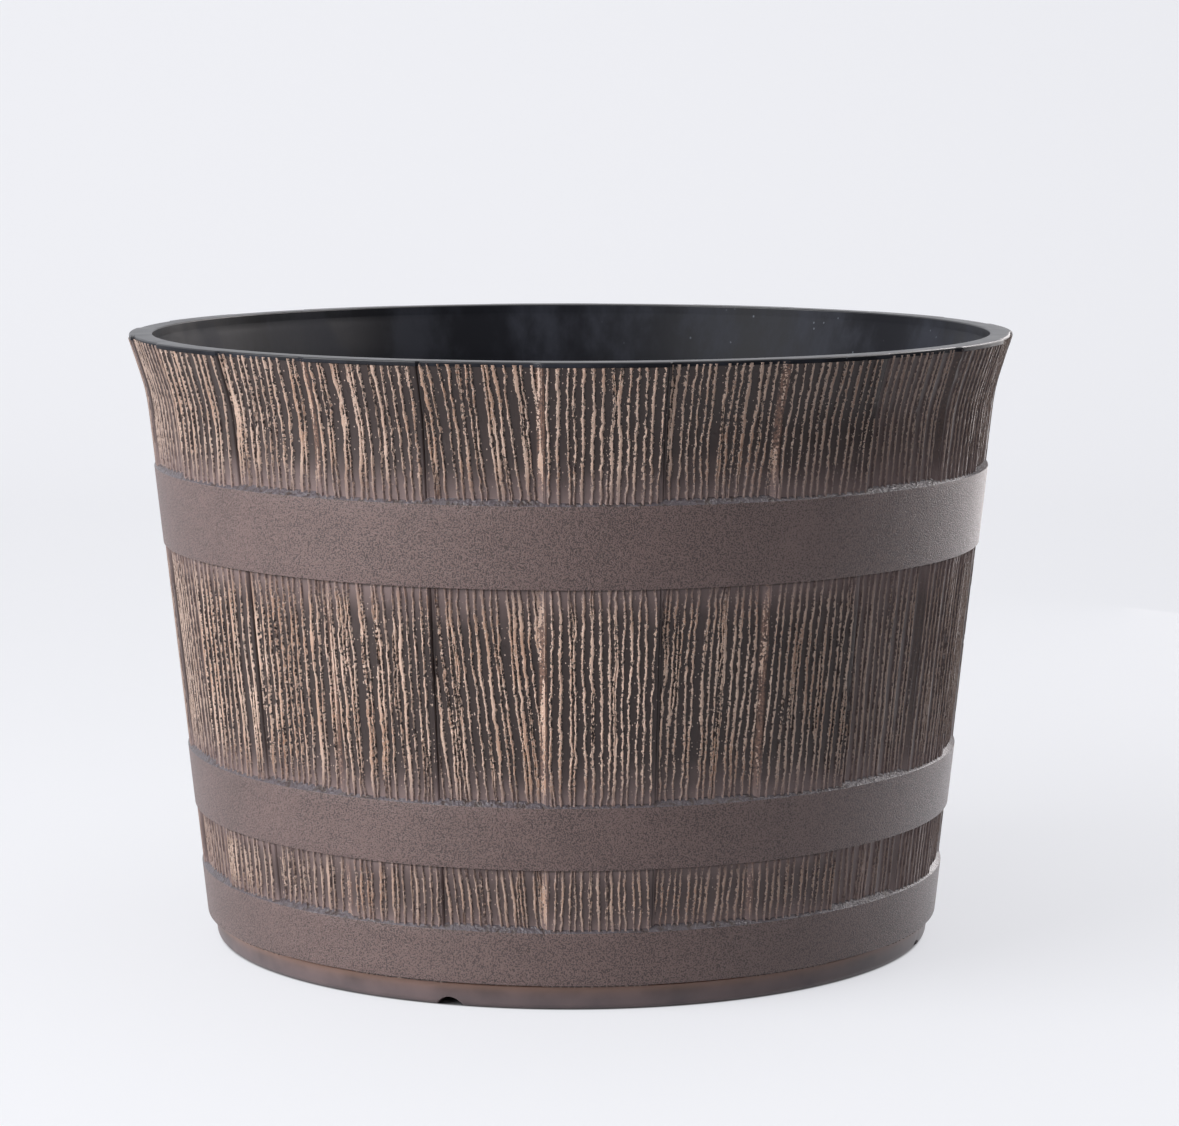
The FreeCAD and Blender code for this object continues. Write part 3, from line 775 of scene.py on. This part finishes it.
def make_foot(material):
    """The foot ring, with a rounded lower edge and its drain notches."""
    width = 18 * MM
    lean = 1.5 * MM
    rounding = 4 * MM
    notch_turn = math.radians(-18.45)
    notch_radius = 8.5 * MM
    notch_height = 5 * MM
    notch_count = 4
    top_edge = 0.6 * MM
    quarter = math.tau / notch_count
    inside = FOOT_RADIUS - width
    edge_radius = FOOT_RADIUS - lean
    outline = [(inside, 0)]
    outline += arc((edge_radius - rounding, rounding), rounding, -90, 0, 9)
    outline += [(FOOT_RADIUS, FOOT_TOP - top_edge), (FOOT_RADIUS - top_edge, FOOT_TOP), (inside, FOOT_TOP)]
    radii, heights = np.array(outline).T
    near_angle = 0.05
    near = near_angle * np.linspace(-1, 1, 121)
    between = np.linspace(near[-1], quarter - near[-1], 90)[1:-1]
    turns = notch_turn + quarter * np.arange(notch_count)
    angles = np.concatenate([turn + part for turn in turns for part in (near, between)])
    from_notch = (angles - notch_turn + quarter / 2) % quarter - quarter / 2
    aside = np.minimum(np.abs(np.sin(from_notch)) * FOOT_RADIUS, notch_radius)
    lowest = np.clip(np.sqrt(notch_radius ** 2 - aside ** 2) + notch_height - notch_radius, 0, None)
    all_heights = np.maximum(heights[None, :], lowest[:, None])
    all_radii = np.broadcast_to(radii, all_heights.shape)
    points, faces = lathe(all_radii, all_heights, angles)
    foot = make_object("foot_ring_turned", points, faces, material, "foot_ring", FOOT_SHARP)


def make_pot(material, rim_finish):
    """The inner pot: floor with its drain hole, smooth wall, and a rim that steps in at recessed staves."""
    per_stave = 40
    angles = FIRST_STAVE + even_angles(STAVE_COUNT * per_stave)
    offset = (angles - FIRST_STAVE) / STAVE_PITCH
    nearest = np.round(offset)
    from_edge = (0.5 - np.abs(offset - nearest)) * STAVE_PITCH * RIM_RADIUS
    recessed = nearest % 2 == 1
    slope = np.where(offset > nearest, LIT_SLOPE, DARK_SLOPE)
    flat_share = 0.2
    step = np.where(recessed, STAVE_RECESS * np.clip(from_edge / slope - flat_share, 0, 1), 0.0)

    floor_low = FOOT_TOP
    floor_top = FOOT_TOP + 4 * MM
    drain = 14 * MM
    rim_round = 0.8 * MM
    band_low = HEIGHT - 5 * MM
    band_depth = 0.6 * MM
    band_edge = 0.5 * MM
    mouth = RIM_RADIUS - CAVITY_INSET
    wall_outside = STAVE_THICKNESS + 0.3 * MM
    corner = 6 * MM
    floor_radius = face_radius(floor_top) - CAVITY_INSET

    outline = [(drain, floor_low), (face_radius(floor_low) - wall_outside, floor_low)]
    outline += [(face_radius(z) - wall_outside, z) for z in np.linspace(FLARE_LOW - 12 * MM, RIM_LOW, 10)]
    lip_first = len(outline)
    outline += [(RIM_RADIUS, RIM_LOW)]
    outline += arc((RIM_RADIUS - rim_round, HEIGHT - rim_round), rim_round, 0, 90, 6)
    lip_last = len(outline)
    outline += arc((mouth + rim_round, HEIGHT - rim_round), rim_round, 90, 180, 6)
    rim_last = len(outline)
    outline += [(mouth - band_depth, band_low)]
    outline += [(face_radius(band_low) - CAVITY_INSET, band_low - band_edge)]
    wall_heights = np.linspace(band_low - 4 * MM, FLARE_LOW - 15 * MM, 14)
    outline += [(face_radius(z) - CAVITY_INSET, z) for z in wall_heights]
    outline += arc((floor_radius - corner, floor_top + corner), corner, 0, -90, 6)
    outline += [(drain, floor_top)]
    radii, heights = np.array(outline).T
    all_radii = np.repeat(radii[None, :], len(angles), axis=0)
    all_radii[:, lip_first:lip_last] -= step[:, None]
    points, faces = lathe(all_radii, heights, angles)
    pot = make_object("inner_pot_turned", points, faces, material, "inner_pot", POT_SHARP)
    pot.data.materials.append(rim_finish)
    place = np.tile(np.arange(len(outline)), len(angles))
    on_rim = (place > lip_first) & (place < rim_last - 1)
    pot.data.polygons.foreach_set("material_index", on_rim.astype(np.int32))


# Studio


def aim(thing, target):
    """Points a light at a place."""
    offset = np.array(target) - np.array(thing.location)
    flat = math.hypot(offset[0], offset[1])
    thing.rotation_euler = (math.atan2(flat, -offset[2]), 0, math.atan2(offset[1], offset[0]) - math.pi / 2)


def add_softbox(name, place, target, size, power, gloss_only=False):
    """A rectangular area light, which the camera doesn't see. It may light nothing but show in gloss."""
    light = bpy.data.lights.new(name, "AREA")
    light.shape = "RECTANGLE"
    light.size, light.size_y = size
    light.energy = power
    light.color = GLOSS_TINT if gloss_only else WHITE
    thing = bpy.data.objects.new(name, light)
    bpy.context.collection.objects.link(thing)
    thing.location = place
    thing.visible_camera = False
    thing.visible_diffuse = not gloss_only
    aim(thing, target)


def floor_material():
    """Pale paper that looks paler than it lights the planter. In gloss its right-hand side is dark, except
    for a bright patch beside the planter. It doesn't glow under the foot."""
    material, tree, shader, add = new_material("floor")
    path = add("ShaderNodeLightPath").outputs
    where = add("ShaderNodeTexCoord").outputs["Object"]
    across, behind, _ = add("ShaderNodeSeparateXYZ", {0: where}).outputs
    # Where each mask runs, in metres to the right of the planter's axis or behind it.
    dark_to_lit = (1.15, 0.65)
    wider_behind, widening = 0.29, (1.2, 3.0)
    paler_behind, paling = 0.09, (0.5, 2.6)
    patch_left = (0.05, 0.35)
    patch_near, patch_far = (-0.2, 0.05), (1.2, 0.8)
    foot_edge = (FOOT_RADIUS - 5 * MM, FOOT_RADIUS - 2 * MM)

    spread = math_of(add, "MULTIPLY", ramp_of(add, behind, *widening), wider_behind)
    lit = ramp_of(add, math_of(add, "SUBTRACT", across, spread), *dark_to_lit)
    reflected = math_of(add, "MULTIPLY", path["Is Glossy Ray"], lit)
    seen = math_of(add, "MAXIMUM", path["Is Camera Ray"], reflected)
    unseen = mix_of(add, lit, FLOOR_SHADE, FLOOR_UNSEEN)
    tree.links.new(mix_of(add, seen, unseen, FLOOR_SEEN), shader.inputs["Base Color"])
    from_axis = add("ShaderNodeVectorMath", {0: where}, operation="LENGTH").outputs["Value"]
    beside = ramp_of(add, from_axis, *foot_edge)
    glowing = math_of(add, "MULTIPLY", seen, beside)
    tree.links.new(mix_of(add, glowing, NO_GLOW, FLOOR_GLOW), shader.inputs["Emission Color"])
    beyond = math_of(add, "MULTIPLY", ramp_of(add, behind, *patch_near), ramp_of(add, behind, *patch_far))
    patch = math_of(add, "MULTIPLY", ramp_of(add, across, *patch_left), beyond)
    brighter = math_of(add, "MULTIPLY", path["Is Glossy Ray"], patch)
    far_off = math_of(add, "MULTIPLY", ramp_of(add, behind, *paling), paler_behind)
    strength = math_of(add, "ADD", math_of(add, "ADD", 1.0, far_off), brighter)
    tree.links.new(strength, shader.inputs["Emission Strength"])
    shader.inputs["Roughness"].default_value = 0.9
    shader.inputs["Specular IOR Level"].default_value = 0.1
    return material


def make_studio():
    """A pale floor that sweeps up behind the planter, pale surroundings, and soft light from the left."""
    far, near, side = 2.1, -12.0, 12.0
    sweep = 0.9
    wall_top = 4.0
    outline = [(near, 0.0), (far, 0.0)]
    for t in np.linspace(0, math.pi / 2, 24)[1:]:
        outline.append((far + sweep * math.sin(t), sweep * (1 - math.cos(t))))
    outline.append((far + sweep, wall_top))
    points = [(x, y, z) for y, z in outline for x in (-side, side)]
    faces = grid_faces(len(outline), 2).tolist()
    mesh = bpy.data.meshes.new("floor")
    mesh.from_pydata(points, [], faces)
    mesh.polygons.foreach_set("use_smooth", np.ones(len(mesh.polygons), dtype=bool))
    mesh.materials.append(floor_material())
    floor = bpy.data.objects.new("floor", mesh)
    bpy.context.collection.objects.link(floor)

    sky_light, sky_seen = 0.2, 0.88
    world = bpy.data.worlds.new("studio")
    world.use_nodes = True
    tree = world.node_tree
    sky = tree.nodes["Background"]
    sky.inputs["Color"].default_value = SKY
    seen = tree.nodes.new("ShaderNodeLightPath").outputs["Is Camera Ray"]
    strength = tree.nodes.new("ShaderNodeMapRange")
    tree.links.new(seen, strength.inputs["Value"])
    strength.inputs["To Min"].default_value = sky_light
    strength.inputs["To Max"].default_value = sky_seen
    tree.links.new(strength.outputs["Result"], sky.inputs["Strength"])
    bpy.context.scene.world = world

    add_softbox("key", (-2.3, -1.3, 1.4), (0, 0, 0.15), (2.6, 2.2), 112)
    add_softbox("top", (0.0, 0.1, 2.6), (0, 0.1, 0.0), (3.0, 2.6), 36)
    add_softbox("edge", (0.9, 0.9, 0.25), (0, 0, 0.2), (1.1, 0.7), 8, gloss_only=True)
    add_softbox("fill", (1.7, 0.0, 1.45), (0, 0, 0.3), (0.8, 0.7), 25, gloss_only=True)
    add_softbox("back", (1.1, 1.05, 1.15), (0, 0, 0.25), (0.9, 0.6), 19, gloss_only=True)
    add_softbox("front", (-0.9, -3.0, 1.5), (0, 0, 0.25), (0.4, 1.2), 5)


def make_camera():
    """The camera of the photograph, fitted to the rim, the hoops and the foot."""
    camera = bpy.data.cameras.new("camera")
    camera.sensor_fit = "HORIZONTAL"
    camera.sensor_width = 36
    camera.lens = 113.25
    thing = bpy.data.objects.new("camera", camera)
    bpy.context.collection.objects.link(thing)
    thing.location = (0, -2.1102, 0.4863)
    pitch, yaw = -7.434, -0.281
    thing.rotation_euler = (math.radians(90 + pitch), 0, math.radians(yaw))
    bpy.context.scene.camera = thing


stave_finish = stave_material()
hoop_finish = hoop_material()
ledge_finish = ledge_material()
for stave_index in range(STAVE_COUNT):
    make_stave(stave_index, stave_finish)
for hoop_name in HOOPS:
    make_hoop(hoop_name, hoop_finish, ledge_finish)
make_foot(foot_material())
make_pot(pot_material(), rim_material())
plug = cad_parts["drain_plug"]
plug.data.materials.clear()
plug.data.materials.append(plug_material())
make_studio()
make_camera()
bpy.context.scene.view_settings.view_transform = "Standard"
